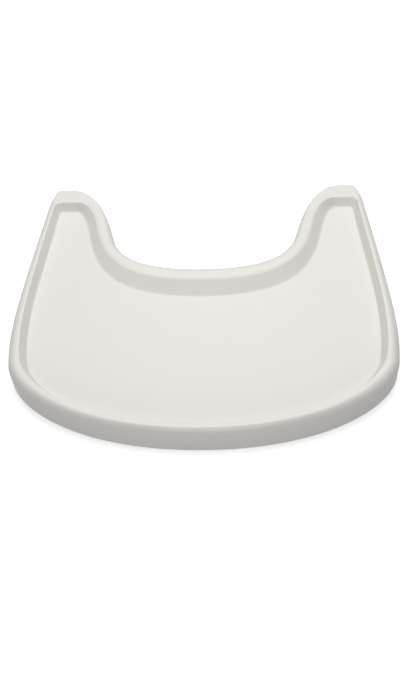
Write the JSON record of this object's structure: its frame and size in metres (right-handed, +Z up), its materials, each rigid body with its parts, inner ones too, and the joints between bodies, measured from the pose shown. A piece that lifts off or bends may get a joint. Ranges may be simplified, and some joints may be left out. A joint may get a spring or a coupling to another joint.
{
  "type": "high chair tray",
  "caption": "Detachable baby high chair tray: raised rim, deep skirt and a U-shaped cut-out for the child, with sprung latches and guides underneath for the chair arms.",
  "frame": {"origin": "on the plane of symmetry, midway between front and rear, at the level of the lower edge of the skirt", "axes": "+X to the right seen from the front edge, +Y from the front edge toward the child, +Z up"},
  "size_m": [0.4754, 0.3676, 0.04],
  "materials": {
    "shell_plastic": "satin moulded",
    "guide_plastic": "satin moulded",
    "latch_plastic": "satin moulded",
    "soft_grip": "matte",
    "spring_steel": "drawn wire",
    "plated_steel": "zinc plated"
  },
  "bodies": {
    "tray": {"tray_shell": "shell_plastic", "arm_guide_right": "guide_plastic", "arm_guide_left": "guide_plastic", "grip_strip_right": "soft_grip", "grip_strip_left": "soft_grip", "end_bumper_right": "soft_grip", "end_bumper_left": "soft_grip", "latch_spring_right": "spring_steel", "latch_spring_left": "spring_steel", "lever_pin_right": "plated_steel", "lever_pin_left": "plated_steel", "latch_cover_right": "guide_plastic", "latch_cover_left": "guide_plastic", "guide_screws_right": "plated_steel", "guide_screws_left": "plated_steel", "cover_screws_right": "plated_steel", "cover_screws_left": "plated_steel"},
    "lever_right": {"release_lever_right": "latch_plastic"},
    "bolt_right": {"latch_bolt_right": "latch_plastic"},
    "lever_left": {"release_lever_left": "latch_plastic"},
    "bolt_left": {"latch_bolt_left": "latch_plastic"}
  },
  "joints": [
    {"name": "bolt_slide_right", "type": "slide", "parent": "tray", "child": "bolt_right", "axis": [-1, 0, 0], "range_m": [0, 0.0085], "stiffness_N_per_m": 375, "springref_m": -0.003, "deforming": ["latch_spring_right"]},
    {"name": "lever_swing_right", "type": "hinge", "parent": "tray", "child": "lever_right", "pos_m": [0.14325, 0.075, 0.0102], "axis": [0, 0, 1], "range_deg": [0, 18.9]},
    {"name": "bolt_slide_left", "type": "slide", "parent": "tray", "child": "bolt_left", "axis": [1, 0, 0], "range_m": [0, 0.0085], "stiffness_N_per_m": 375, "springref_m": -0.003, "deforming": ["latch_spring_left"]},
    {"name": "lever_swing_left", "type": "hinge", "parent": "tray", "child": "lever_left", "pos_m": [-0.14325, 0.075, 0.0102], "axis": [0, 0, -1], "range_deg": [0, 18.9]}
  ],
  "couplings": [
    {"joint": "lever_swing_right", "follows": "bolt_slide_right", "rad_per_m": 38.635},
    {"joint": "lever_swing_left", "follows": "bolt_slide_left", "rad_per_m": 38.635}
  ]
}
